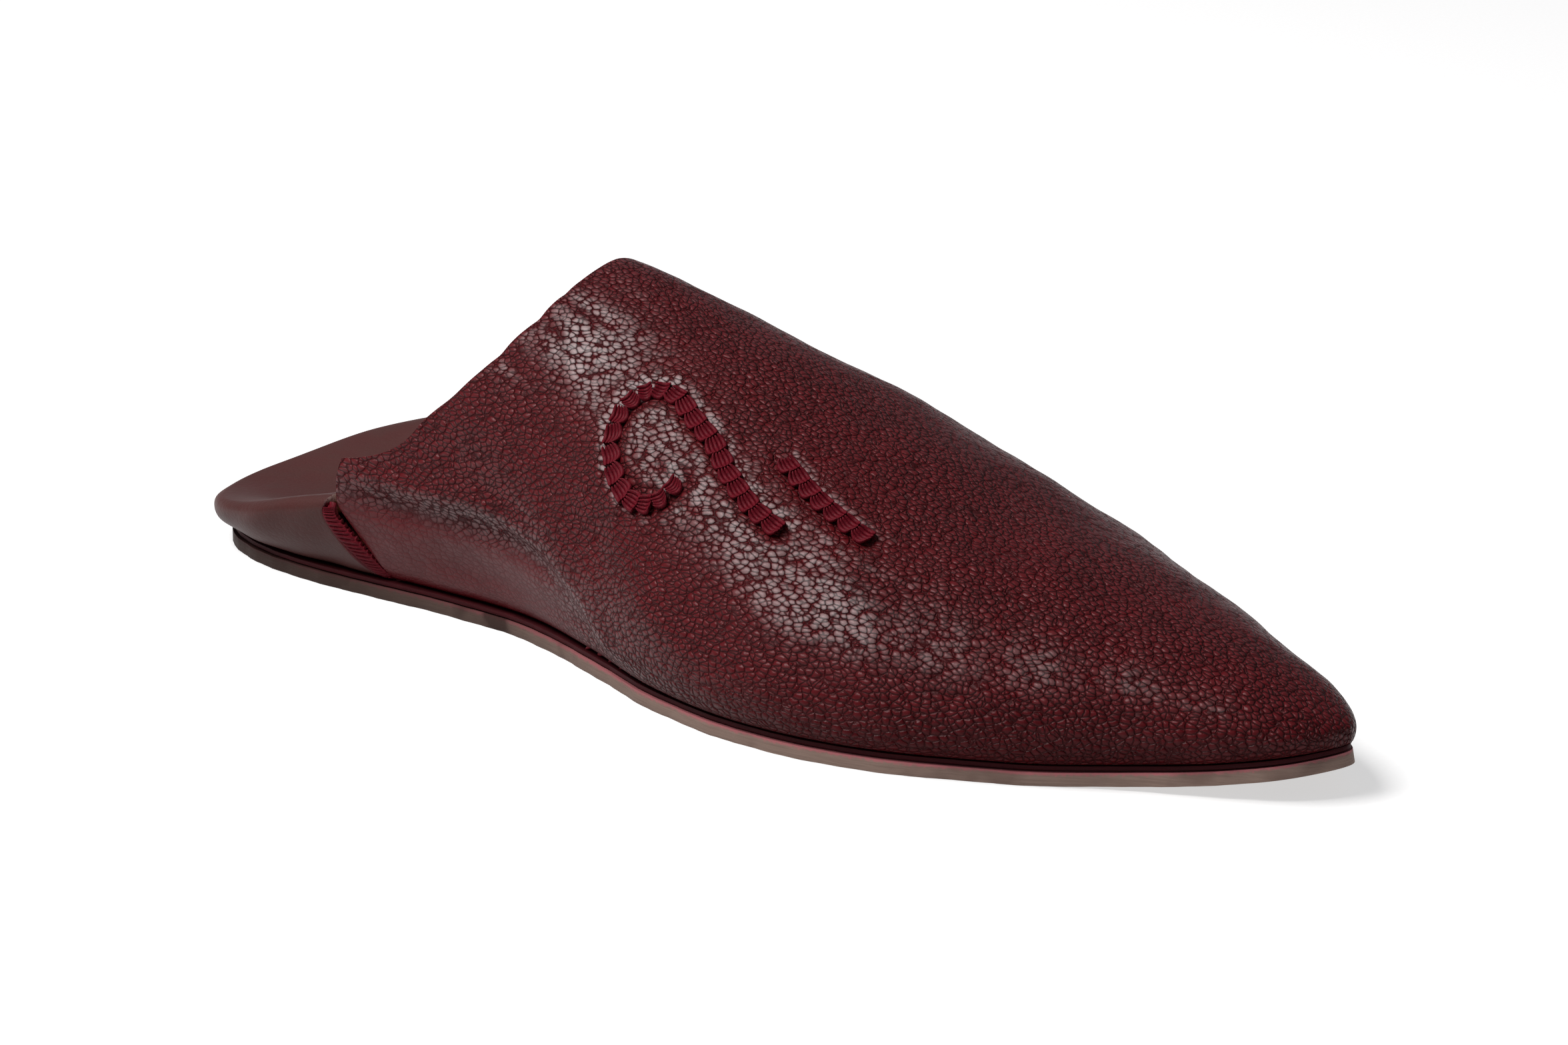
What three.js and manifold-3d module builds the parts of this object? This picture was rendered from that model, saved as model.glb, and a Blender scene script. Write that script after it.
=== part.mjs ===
// Leather babouche slipper for the right foot: pointed toe, open collar, heel trodden down flat.
// Millimetres. +Y runs to the toe, +X to the outer (lateral) side of the foot, +Z is up.
// The pieces are made with the sole's heel at Y = 0; the whole shoe is then centred over the origin.

import * as THREE from "three";
import { mergeVertices } from "three/addons/utils/BufferGeometryUtils.js";
import Module from "manifold-3d";

const wasm = await Module();
wasm.setup();

// ---------- driving dimensions ----------

const SOLE_LENGTH = 274.2;
const GAP = 0.3;
const OUTSOLE_THICK = 2.5;
const LAYER_THICK = 0.8;
const LEATHER = 1.6;
const FLANGE_THICK = 1.4;
const INSOLE_THICK = 1.4;
const LAYER_BOTTOM = OUTSOLE_THICK + GAP;
const UPPER_BOTTOM = LAYER_BOTTOM + LAYER_THICK + GAP;
const INSOLE_BOTTOM = UPPER_BOTTOM + FLANGE_THICK + GAP;
const INSOLE_TOP = INSOLE_BOTTOM + INSOLE_THICK;
const LASTING_WIDTH = 9;
const INSOLE_MARGIN = 6;
const TOE_EASE = 0.5;
const SPRING_START = 226;
const SPRING_HEIGHT = 5.5;

// Foot outline: half-widths of the outsole on each side of the centre line, heel to toe.
const OUTLINE = [
  { along: 0, lateral: 0, medial: 0 },
  { along: 3, lateral: 11, medial: 11 },
  { along: 12, lateral: 22.5, medial: 22.5 },
  { along: 30, lateral: 29.1, medial: 29.7 },
  { along: 50, lateral: 30.2, medial: 30 },
  { along: 75, lateral: 29.1, medial: 27 },
  { along: 100, lateral: 30.1, medial: 27 },
  { along: 125, lateral: 37.4, medial: 33.7 },
  { along: 150, lateral: 46.3, medial: 41.7 },
  { along: 175, lateral: 50.4, medial: 44.6 },
  { along: 200, lateral: 47.5, medial: 41.6 },
  { along: 225, lateral: 36.3, medial: 31.4 },
  { along: 245, lateral: 23.8, medial: 20.8 },
  { along: 260, lateral: 16.5, medial: 13.6 },
  { along: 270, lateral: 9.2, medial: 6.2 },
  { along: SOLE_LENGTH, lateral: 0, medial: 0 },
];

// Cross-sections of the vamp: how far the widest line stands out past the outsole edge on each side,
// the height of that line, the height of the crest, and how far in the bottom edge is tucked.
// A shoulder of 1 is an ellipse; more than 1 flattens the sides toward straight slopes.
const VAMP = [
  { along: 30, out_lateral: 4.5, out_medial: 4.5, fold: 22, crest: 75, tuck: 2.2, shoulder: 1.2, wall: 1.35 },
  { along: 50, out_lateral: 4.3, out_medial: 4.3, fold: 23.5, crest: 74, tuck: 2.2, shoulder: 1.2, wall: 1.35 },
  { along: 75, out_lateral: 5.2, out_medial: 5.2, fold: 24, crest: 71.5, tuck: 2.4, shoulder: 1.18, wall: 1.3 },
  { along: 100, out_lateral: 5.4, out_medial: 5.4, fold: 24, crest: 68.4, tuck: 2.6, shoulder: 1.15, wall: 1.25 },
  { along: 125, out_lateral: 4, out_medial: 4, fold: 21, crest: 61.6, tuck: 2.6, shoulder: 1.13, wall: 1.15 },
  { along: 150, out_lateral: 2.6, out_medial: 2.6, fold: 18, crest: 54, tuck: 2.4, shoulder: 1.12, wall: 1.05 },
  { along: 175, out_lateral: 1.8, out_medial: 1.8, fold: 16, crest: 45.2, tuck: 2.2, shoulder: 1.13, wall: 1 },
  { along: 200, out_lateral: 1.4, out_medial: 1.2, fold: 14.5, crest: 36.6, tuck: 2.2, shoulder: 1.14, wall: 1 },
  { along: 225, out_lateral: 1.2, out_medial: 1, fold: 13, crest: 29.8, tuck: 2, shoulder: 1.12, wall: 1 },
  { along: 245, out_lateral: 1.2, out_medial: 0.9, fold: 12.2, crest: 24.6, tuck: 1.8, shoulder: 1.08, wall: 1 },
  { along: 260, out_lateral: 1.2, out_medial: 0.8, fold: 11.6, crest: 19.4, tuck: 1.6, shoulder: 1.04, wall: 1 },
  { along: 270, out_lateral: 1.2, out_medial: 0.7, fold: 11.4, crest: 15, tuck: 1.4, shoulder: 1, wall: 1 },
  { along: 275, out_lateral: 1.2, out_medial: 0.7, fold: 11.4, crest: 12, tuck: 1.2, shoulder: 1, wall: 1 },
];

// Side view of the collar edge, from the top of the rear seam forward and up to the instep peak.
const COLLAR = [
  { along: 56.2, height: 28.4 },
  { along: 61, height: 29.4 },
  { along: 67, height: 31.4 },
  { along: 72, height: 34.6 },
  { along: 76.5, height: 39.8 },
  { along: 84, height: 46.4 },
  { along: 92, height: 56.2 },
  { along: 96.5, height: 63.8 },
  { along: 98, height: 71 },
];

// Side seam, slanting forward as it goes down; half_band is half the width of the wrapped band in it.
const SEAM = [
  { height: 0, along: 64, half_band: 1.7 },
  { height: 4, along: 61.5, half_band: 1.9 },
  { height: 9, along: 58.2, half_band: 2.3 },
  { height: 14, along: 54.8, half_band: 2.2 },
  { height: 19, along: 52.2, half_band: 1.5 },
  { height: 24, along: 53.2, half_band: 1.3 },
  { height: 30, along: 54.6, half_band: 1.2 },
];

// Folded heel, around the back from the outer seam (turn 0) to the inner seam (turn 1): height of
// the fold's middle, its reach past the outsole edge, the radius of the fold and the bulge of the
// low wall under it (less than 1 is fuller, more than 1 is straighter).
const HEEL = [
  { turn: 0, ridge: 19.6, reach: 4.2, radius: 3.2, bulge: 1.3 },
  { turn: 0.14, ridge: 15.2, reach: 4.2, radius: 2.7, bulge: 1.25 },
  { turn: 0.28, ridge: 9.4, reach: 4, radius: 2.4, bulge: 1.1 },
  { turn: 0.42, ridge: 6.4, reach: 3.7, radius: 2.4, bulge: 0.9 },
  { turn: 0.52, ridge: 7.2, reach: 3.4, radius: 2.4, bulge: 0.9 },
  { turn: 0.64, ridge: 12.6, reach: 3.2, radius: 2.5, bulge: 1 },
  { turn: 0.76, ridge: 17.4, reach: 3.4, radius: 2.6, bulge: 1.1 },
  { turn: 0.88, ridge: 20.4, reach: 3.8, radius: 2.8, bulge: 1.25 },
  { turn: 1, ridge: 21, reach: 4.2, radius: 3.2, bulge: 1.3 },
];

// Free edge of the turned-in heel leather, across the seat from the outer to the inner side.
const FLAP_EDGE = [
  { turn: 0, across: 27.5, along: 48.6, height: 23.6 },
  { turn: 0.2, across: 21, along: 52.5, height: 14 },
  { turn: 0.36, across: 11, along: 56, height: 9.4 },
  { turn: 0.5, across: 0, along: 57.5, height: 8.8 },
  { turn: 0.64, across: -11, along: 56, height: 9.4 },
  { turn: 0.8, across: -21, along: 52.5, height: 14 },
  { turn: 1, across: -27.5, along: 48.6, height: 23.6 },
];

// ---------- smooth tables and the foot outline ----------

// Value of one column of a table at a given key, on a smooth curve through the rows.
function read(table, key, column, at) {
  const last = table.length - 1;
  let i = 0;
  while (i < last - 1 && table[i + 1][key] < at) {
    i += 1;
  }
  const a = table[i];
  const b = table[i + 1];
  const before = table[Math.max(i - 1, 0)];
  const after = table[Math.min(i + 2, last)];
  const span = b[key] - a[key];
  const t = THREE.MathUtils.clamp((at - a[key]) / span, 0, 1);
  const slopeA = ((b[column] - before[column]) / (b[key] - before[key])) * span;
  const slopeB = ((after[column] - a[column]) / (after[key] - a[key])) * span;
  const t2 = t * t;
  const t3 = t2 * t;
  return (
    (2 * t3 - 3 * t2 + 1) * a[column] +
    (t3 - 2 * t2 + t) * slopeA +
    (3 * t2 - 2 * t3) * b[column] +
    (t3 - t2) * slopeB
  );
}

// The outsole edge as one closed curve: heel, outer side, toe, inner side.
const lateralEdge = OUTLINE.map((row) => new THREE.Vector3(row.lateral, row.along, 0));
const medialEdge = OUTLINE.slice(1, -1)
  .reverse()
  .map((row) => new THREE.Vector3(-row.medial, row.along, 0));
const footCurve = new THREE.CatmullRomCurve3([...lateralEdge, ...medialEdge], true, "centripetal");
footCurve.arcLengthDivisions = 800;

// Evenly spaced points of the outline moved inward by a margin, which eases off in the narrow toe.
function insetOutline(count, margin) {
  const points = [];
  for (let i = 0; i < count; i += 1) {
    const p = footCurve.getPointAt(i / count);
    const along = footCurve.getTangentAt(i / count);
    const inward = margin * (1 - TOE_EASE * THREE.MathUtils.smoothstep(p.y, 225, 270));
    points.push(new THREE.Vector2(p.x - along.y * inward, p.y + along.x * inward));
  }
  return points;
}

// Lift of the sole off the floor toward the toe tip.
function spring(along) {
  const k = Math.max(0, (along - SPRING_START) / (SOLE_LENGTH - SPRING_START));
  return SPRING_HEIGHT * k * k;
}

// Half-width of the outline at a distance from the heel, one side at a time.
const sidePoints = { 1: [], [-1]: [] };
const FINE = 1600;
for (let i = 0; i < FINE; i += 1) {
  const p = footCurve.getPoint(i / FINE);
  sidePoints[i < FINE / 2 ? 1 : -1].push({ along: p.y, half: Math.abs(p.x) });
}
sidePoints[-1].reverse();

function halfWidth(side, along) {
  const rows = sidePoints[side];
  for (let i = 1; i < rows.length; i += 1) {
    if (rows[i].along >= along) {
      const t = (along - rows[i - 1].along) / Math.max(rows[i].along - rows[i - 1].along, 1e-6);
      return rows[i - 1].half + (rows[i].half - rows[i - 1].half) * t;
    }
  }
  return 0;
}

// ---------- solids from loops and sheets ----------

function toGeometry(positions, faces) {
  const geometry = new THREE.BufferGeometry();
  geometry.setAttribute("position", new THREE.Float32BufferAttribute(positions, 3));
  geometry.setIndex(faces);
  return geometry;
}

// Closed body from a stack of loops that start at the heel, each capped end filled by straight
// strips from the outer side to the inner side.
function loftLoops(loops) {
  const count = loops[0].length;
  const positions = [];
  const faces = [];
  loops.forEach((loop) => loop.forEach((p) => positions.push(p.x, p.y, p.z)));
  for (let j = 0; j + 1 < loops.length; j += 1) {
    for (let i = 0; i < count; i += 1) {
      const a = j * count + i;
      const b = j * count + ((i + 1) % count);
      faces.push(a, b, b + count, a, b + count, a + count);
    }
  }
  const top = (loops.length - 1) * count;
  for (let i = 0; i < count / 2; i += 1) {
    const a = i;
    const b = i + 1;
    const c = count - i - 1;
    const d = (count - i) % count;
    if (b !== c) {
      faces.push(a, c, b);
      faces.push(top + a, top + b, top + c);
    }
    if (a !== d) {
      faces.push(a, d, c);
      faces.push(top + a, top + c, top + d);
    }
  }
  return toGeometry(positions, faces);
}

// A flat layer of the sole: rows of {margin, height} from the underside to the top side.
function soleLayer(count, rows) {
  const loops = rows.map((row) =>
    insetOutline(count, row.margin).map((p) => new THREE.Vector3(p.x, p.y, row.height + spring(p.y))),
  );
  return loftLoops(loops);
}

// Closed body from a grid of points on the outer face of a sheet and the same grid on its inner face.
function sheetBody(outer, inner) {
  const rows = outer.length;
  const columns = outer[0].length;
  const positions = [];
  const faces = [];
  [outer, inner].forEach((grid) =>
    grid.forEach((row) => row.forEach((p) => positions.push(p.x, p.y, p.z))),
  );
  const offset = rows * columns;
  const quad = (a, b, c, d) => faces.push(a, b, c, a, c, d);
  for (let i = 0; i + 1 < rows; i += 1) {
    for (let j = 0; j + 1 < columns; j += 1) {
      const a = i * columns + j;
      quad(a, a + 1, a + columns + 1, a + columns);
      quad(offset + a, offset + a + columns, offset + a + columns + 1, offset + a + 1);
    }
  }
  for (let j = 0; j + 1 < columns; j += 1) {
    const end = (rows - 1) * columns + j;
    quad(j, offset + j, offset + j + 1, j + 1);
    quad(end, end + 1, offset + end + 1, offset + end);
  }
  for (let i = 0; i + 1 < rows; i += 1) {
    const a = i * columns;
    const b = a + columns - 1;
    quad(a, a + columns, offset + a + columns, offset + a);
    quad(b, offset + b, offset + b + columns, b + columns);
  }
  return toGeometry(positions, faces);
}

function toSolid(geometry) {
  const merged = mergeVertices(geometry, 1e-4);
  return new wasm.Manifold(
    new wasm.Mesh({
      numProp: 3,
      vertProperties: new Float32Array(merged.attributes.position.array),
      triVerts: new Uint32Array(merged.index.array),
    }),
  );
}

function fromSolid(solid) {
  const mesh = solid.getMesh();
  return toGeometry(Array.from(mesh.vertProperties), Array.from(mesh.triVerts));
}

// ---------- vamp ----------

const VAMP_STATIONS = 34;
const WALL_STEPS = 6;
const CROWN_STEPS = 22;
const VAMP_BACK = 44;

// One closed cross-section of the vamp. The shrink is zero outside and a leather thickness inside.
function vampSection(along, shrink) {
  const nose = SOLE_LENGTH + 0.4 - shrink;
  const t = (along - VAMP_BACK) / (SOLE_LENGTH - VAMP_BACK);
  const y = VAMP_BACK + (nose - VAMP_BACK) * t;
  const value = (column) => read(VAMP, "along", column, along);
  const floor = UPPER_BOTTOM + spring(y) + (shrink > 0 ? FLANGE_THICK : 0);
  const close = Math.sqrt(Math.max(0, 1 - Math.pow(Math.max(0, (along - 268) / (SOLE_LENGTH - 268)), 2)));
  const fold = Math.max(value("fold"), floor + 0.6);
  const crest = Math.max(value("crest") - shrink, fold + 0.4);
  const side = (sign, column) => {
    const edge = halfWidth(sign, Math.min(along, SOLE_LENGTH - 0.02));
    const wide = Math.max(edge + value(column) * close - shrink, 0.3);
    const foot = Math.max(Math.min(edge - value("tuck") - shrink, wide - 0.1), 0.15);
    return { wide, foot };
  };
  const lateral = side(1, "out_lateral");
  const medial = side(-1, "out_medial");
  const points = [];
  const addWall = (sign, part, step) => {
    const a = (step / WALL_STEPS) * (Math.PI / 2);
    const reach = Math.pow(Math.sin(a), value("wall"));
    const drop = Math.pow(Math.cos(a), value("wall"));
    const x = part.foot + (part.wide - part.foot) * reach;
    points.push(new THREE.Vector3(sign * x, y, fold - (fold - floor) * drop));
  };
  for (let i = 0; i < WALL_STEPS; i += 1) {
    addWall(1, lateral, i);
  }
  for (let i = 0; i <= CROWN_STEPS; i += 1) {
    const a = (i / CROWN_STEPS) * Math.PI;
    const cos = Math.cos(a);
    const reach = Math.sign(cos) * Math.pow(Math.abs(cos), value("shoulder"));
    const wide = cos >= 0 ? lateral.wide : medial.wide;
    points.push(new THREE.Vector3(wide * reach, y, fold + (crest - fold) * Math.pow(Math.sin(a), value("shoulder"))));
  }
  for (let i = WALL_STEPS - 1; i >= 0; i -= 1) {
    addWall(-1, medial, i);
  }
  return points;
}

// Closed body from cross-sections that each stand across the foot.
function loftSections(sections) {
  const count = sections[0].length;
  const positions = [];
  const faces = [];
  sections.forEach((section) => section.forEach((p) => positions.push(p.x, p.y, p.z)));
  for (let j = 0; j + 1 < sections.length; j += 1) {
    for (let i = 0; i < count; i += 1) {
      const a = j * count + i;
      const b = j * count + ((i + 1) % count);
      faces.push(a, b + count, b, a, a + count, b + count);
    }
  }
  const flat = (section) => section.map((p) => new THREE.Vector2(p.x, p.z));
  const end = (sections.length - 1) * count;
  THREE.ShapeUtils.triangulateShape(flat(sections[0]), []).forEach(([a, b, c]) => faces.push(a, b, c));
  THREE.ShapeUtils.triangulateShape(flat(sections[sections.length - 1]), []).forEach(([a, b, c]) =>
    faces.push(end + c, end + b, end + a),
  );
  return toGeometry(positions, faces);
}

function vampBody(shrink) {
  const sections = [];
  for (let i = 0; i <= VAMP_STATIONS; i += 1) {
    const t = i / VAMP_STATIONS;
    const eased = 0.35 * t + 0.65 * Math.sin((t * Math.PI) / 2);
    sections.push(vampSection(VAMP_BACK + (SOLE_LENGTH - 0.02 - VAMP_BACK) * eased, shrink));
  }
  return toSolid(loftSections(sections));
}

// Everything behind the collar edge and the rear seams, as one body across the whole shoe.
function collarCutter() {
  const shape = new THREE.Shape();
  shape.moveTo(-40, -10);
  const seamTop = COLLAR[0].height;
  for (let i = 0; i <= 14; i += 1) {
    const height = -4 + ((seamTop + 4) * i) / 14;
    const along = read(SEAM, "height", "along", height) + read(SEAM, "height", "half_band", height) + 2 * GAP;
    shape.lineTo(along, height);
  }
  for (let i = 1; i <= 26; i += 1) {
    const along = COLLAR[0].along + ((COLLAR[COLLAR.length - 1].along - COLLAR[0].along) * i) / 26;
    shape.lineTo(along, read(COLLAR, "along", "height", along));
  }
  shape.lineTo(98, 90);
  shape.lineTo(-40, 90);
  shape.closePath();
  const geometry = new THREE.ExtrudeGeometry(shape, { depth: 160, bevelEnabled: false });
  geometry.deleteAttribute("normal");
  geometry.deleteAttribute("uv");
  geometry.translate(0, 0, -80);
  geometry.rotateX(Math.PI / 2);
  geometry.rotateZ(Math.PI / 2);
  return toSolid(geometry);
}

// The opening underneath, inside the lasted edge.
function soleOpening() {
  return toSolid(
    soleLayer(120, [
      { margin: LASTING_WIDTH, height: UPPER_BOTTOM - 3 },
      { margin: LASTING_WIDTH, height: UPPER_BOTTOM + FLANGE_THICK + 0.2 },
    ]),
  );
}

function buildVamp() {
  const shell = vampBody(0).subtract(vampBody(LEATHER));
  return fromSolid(shell.subtract(soleOpening()).subtract(collarCutter()));
}

// ---------- folded heel quarter and side seam bands ----------

// Distance around the outline, as a fraction, of the point on one side of the heel half at an along.
function arcAt(side, along) {
  let low = 0;
  let high = side * 0.25;
  for (let i = 0; i < 30; i += 1) {
    const middle = (low + high) / 2;
    if (footCurve.getPointAt((middle + 1) % 1).y < along) {
      low = middle;
    } else {
      high = middle;
    }
  }
  return (low + high) / 2;
}

// The heel outline between the two seams, by turn: 0 outer seam, 0.5 back of the heel, 1 inner seam.
const HEEL_START = arcAt(1, 66);
const HEEL_END = arcAt(-1, 66);

function heelFrame(turn) {
  const u = THREE.MathUtils.lerp(HEEL_START, HEEL_END, turn);
  const wrapped = (u + 1) % 1;
  const tangent = footCurve.getTangentAt(wrapped);
  const point = footCurve.getPointAt(wrapped);
  return { point, out: new THREE.Vector3(tangent.y, -tangent.x, 0) };
}

// Turn at which the quarter meets a side seam, for a given height.
function seamTurn(side, height, shift) {
  const along = read(SEAM, "height", "along", height) + shift;
  const u = arcAt(side, along);
  return (u - HEEL_START) / (HEEL_END - HEEL_START);
}

// Profile of the folded leather in the plane standing out from the sole edge: tucked-under edge,
// low wall, then round the fold. Distances are {out, height}.
const FLANGE_COLUMNS = 3;
const WALL_COLUMNS = 6;
const FOLD_COLUMNS = 6;
const FLAP_COLUMNS = 9;

function heelProfile(turn) {
  const value = (column) => read(HEEL, "turn", column, turn);
  const radius = value("radius");
  const ridge = Math.max(value("ridge"), UPPER_BOTTOM + radius * 0.7);
  const reach = value("reach");
  const bulge = value("bulge");
  const points = [];
  for (let i = 0; i < FLANGE_COLUMNS; i += 1) {
    points.push({ out: -LASTING_WIDTH + ((LASTING_WIDTH - 2.4) * i) / FLANGE_COLUMNS, height: UPPER_BOTTOM });
  }
  for (let i = 0; i < WALL_COLUMNS; i += 1) {
    const a = (i / WALL_COLUMNS) * (Math.PI / 2);
    const rise = 1 - Math.pow(Math.cos(a), bulge);
    points.push({
      out: -2.4 + (reach + 2.4) * Math.pow(Math.sin(a), bulge),
      height: UPPER_BOTTOM + (ridge - UPPER_BOTTOM) * rise,
    });
  }
  for (let i = 0; i <= FOLD_COLUMNS; i += 1) {
    const a = (i / FOLD_COLUMNS) * (Math.PI / 2) * (0.94 + 0.2 * Math.pow(2 * turn - 1, 2));
    points.push({ out: reach - radius + radius * Math.cos(a), height: ridge + radius * Math.sin(a) });
  }
  return points;
}

function heelOuterPoint(turn, column) {
  const frame = heelFrame(turn);
  const profile = heelProfile(turn);
  const place = (p) => frame.point.clone().addScaledVector(frame.out, p.out).setZ(p.height);
  if (column < profile.length) {
    return place(profile[column]);
  }
  const t = (column - profile.length + 1) / FLAP_COLUMNS;
  const start = place(profile[profile.length - 1]);
  const before = place(profile[profile.length - 2]);
  const value = (name) => read(FLAP_EDGE, "turn", name, turn);
  const end = new THREE.Vector3(value("across"), value("along"), value("height"));
  const distance = start.distanceTo(end);
  const leave = start.clone().sub(before).normalize().multiplyScalar(Math.min(distance * 0.35, 12));
  const arrive = new THREE.Vector3(0, 0, -Math.min(distance * 0.12, 2));
  const bridge = new THREE.CubicBezierCurve3(start, start.clone().add(leave), end.clone().sub(arrive), end);
  return bridge.getPoint(t);
}

function heelSheet(columns, turnsAt, rows) {
  const outer = [];
  for (let i = 0; i <= rows; i += 1) {
    const row = [];
    for (let j = 0; j < columns; j += 1) {
      row.push(heelOuterPoint(turnsAt(i / rows, j), j));
    }
    outer.push(row);
  }
  return outer;
}

// Inner face of a sheet: every point moved in along the local normal.
function thicken(outer, thickness) {
  return outer.map((row, i) =>
    row.map((p, j) => {
      const du = outer[Math.min(i + 1, outer.length - 1)][j].clone().sub(outer[Math.max(i - 1, 0)][j]);
      const dv = row[Math.min(j + 1, row.length - 1)].clone().sub(row[Math.max(j - 1, 0)]);
      return p.clone().addScaledVector(du.cross(dv).normalize(), thickness);
    }),
  );
}

function buildQuarter() {
  const columns = heelProfile(0.5).length + FLAP_COLUMNS;
  const ends = [1, -1].map((side) => {
    const list = [];
    const turn = side > 0 ? 0 : 1;
    for (let j = 0; j < columns; j += 1) {
      const height = Math.min(heelOuterPoint(turn, j).z, 26);
      const half = read(SEAM, "height", "half_band", height);
      list.push(seamTurn(side, height, -half - GAP));
    }
    return list;
  });
  const turnsAt = (t, j) => THREE.MathUtils.lerp(ends[0][j], ends[1][j], t);
  const outer = heelSheet(columns, turnsAt, 40);
  return sheetBody(outer, thicken(outer, FLANGE_THICK));
}

function buildBand(side) {
  const columns = FLANGE_COLUMNS + WALL_COLUMNS + 1;
  const turn = side > 0 ? 0 : 1;
  const outer = [];
  for (let i = 0; i <= 6; i += 1) {
    const row = [];
    for (let j = FLANGE_COLUMNS; j < columns; j += 1) {
      const height = heelOuterPoint(turn, j).z;
      const half = read(SEAM, "height", "half_band", height);
      const shift = THREE.MathUtils.lerp(half, -half, i / 6) * side;
      row.push(heelOuterPoint(seamTurn(side, height, shift), j));
    }
    outer.push(row);
  }
  return sheetBody(outer, thicken(outer, LEATHER));
}

// ---------- assembly ----------

const BURGUNDY = { color: 0x5a1420, roughness: 0.55, metalness: 0 };
const SOLE_TAN = { color: 0x8a6f58, roughness: 0.7, metalness: 0 };
const LINING = { color: 0xb08a68, roughness: 0.8, metalness: 0 };
const THREAD = { color: 0x8c1830, roughness: 0.6, metalness: 0 };

const shoe = new THREE.Group();
shoe.name = "babouche_right";

function addPiece(name, geometry, finish) {
  const mesh = new THREE.Mesh(geometry, new THREE.MeshStandardMaterial(finish));
  mesh.name = name;
  shoe.add(mesh);
}

addPiece(
  "outsole",
  soleLayer(128, [
    { margin: 0, height: 0 },
    { margin: 0, height: OUTSOLE_THICK },
  ]),
  SOLE_TAN,
);
addPiece(
  "middle_sole",
  soleLayer(128, [
    { margin: 0.5, height: LAYER_BOTTOM },
    { margin: 0.5, height: LAYER_BOTTOM + LAYER_THICK },
  ]),
  BURGUNDY,
);
addPiece(
  "insole",
  soleLayer(96, [
    { margin: LASTING_WIDTH + GAP, height: UPPER_BOTTOM },
    { margin: LASTING_WIDTH + GAP, height: INSOLE_BOTTOM },
    { margin: INSOLE_MARGIN, height: INSOLE_BOTTOM },
    { margin: INSOLE_MARGIN, height: INSOLE_TOP },
  ]),
  LINING,
);
addPiece("vamp", buildVamp(), BURGUNDY);
addPiece("heel_quarter", buildQuarter(), BURGUNDY);
addPiece("side_seam_band_lateral", buildBand(1), THREAD);
addPiece("side_seam_band_medial", buildBand(-1), THREAD);

// Bottom centre of the whole shoe at the origin.
const box = new THREE.Box3().setFromObject(shoe);
const centre = box.getCenter(new THREE.Vector3());
shoe.children.forEach((mesh) => mesh.geometry.translate(-centre.x, -centre.y, -box.min.z));

export default shoe;
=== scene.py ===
# Leather babouche slipper for the right foot, built piece by piece in the order a maker lasts it.
# Shoe sizes are in millimetres: "along" from the back of the heel, "across" to the outer side and
# "up" from the floor.
import math

import bpy
import numpy as np
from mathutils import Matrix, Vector


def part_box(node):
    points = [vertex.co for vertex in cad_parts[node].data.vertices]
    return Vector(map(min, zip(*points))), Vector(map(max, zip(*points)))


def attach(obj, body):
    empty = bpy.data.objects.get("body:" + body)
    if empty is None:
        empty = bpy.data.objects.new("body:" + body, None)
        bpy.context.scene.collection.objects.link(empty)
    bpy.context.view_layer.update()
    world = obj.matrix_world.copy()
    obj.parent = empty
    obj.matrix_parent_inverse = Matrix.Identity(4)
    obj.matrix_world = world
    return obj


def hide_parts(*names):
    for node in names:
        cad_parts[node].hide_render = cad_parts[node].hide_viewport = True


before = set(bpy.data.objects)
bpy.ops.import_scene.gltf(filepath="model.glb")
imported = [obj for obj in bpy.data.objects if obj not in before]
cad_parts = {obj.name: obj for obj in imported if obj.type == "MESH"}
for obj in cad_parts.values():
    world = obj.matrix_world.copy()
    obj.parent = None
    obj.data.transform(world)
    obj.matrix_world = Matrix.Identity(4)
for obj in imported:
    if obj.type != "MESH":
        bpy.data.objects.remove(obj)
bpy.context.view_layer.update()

# ---------- camera, floor and studio light ----------
# A long lens looks down on the outer side of the shoe from the toe end. The shoe stands on plain
# white paper, which glows a little, under one large soft box and a faint even light all round.

bpy.ops.object.select_all(action="DESELECT")
bpy.ops.object.camera_add(location=(0.7971, 0.7283, 0.3303))
camera = bpy.context.object
camera.name = "camera"
camera.data.sensor_width = 36
camera.data.lens = 136.22
camera.data.clip_end = 30
aim = Vector((-0.0093, -0.0004, 0.0219))
camera.rotation_euler = (aim - camera.location).to_track_quat("-Z", "Y").to_euler()
bpy.context.scene.camera = camera
bpy.context.scene.view_settings.view_transform = "Standard"

bpy.ops.mesh.primitive_plane_add(size=16)
floor = bpy.context.object
floor.name = "paper_floor"


def soft_box(name, place, target, size, watts, colour):
    bpy.ops.object.light_add(type="AREA", location=place)
    lamp = bpy.context.object
    lamp.name = name
    lamp.data.shape = "RECTANGLE"
    lamp.data.size, lamp.data.size_y = size
    lamp.data.energy = watts
    lamp.data.color = colour
    lamp.rotation_euler = (Vector(target) - Vector(place)).to_track_quat("-Z", "Y").to_euler()


soft_box("overhead_box", (0.56, -0.5, 1.3), (0, 0.02, 0.03), (0.95, 0.8), 46, (1, 0.985, 0.97))

world = bpy.data.worlds.new("studio")
bpy.context.scene.world = world
world.use_nodes = True
world.node_tree.nodes["Background"].inputs["Color"].default_value = (0.93, 0.94, 1, 1)
world.node_tree.nodes["Background"].inputs["Strength"].default_value = 0.2


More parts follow.
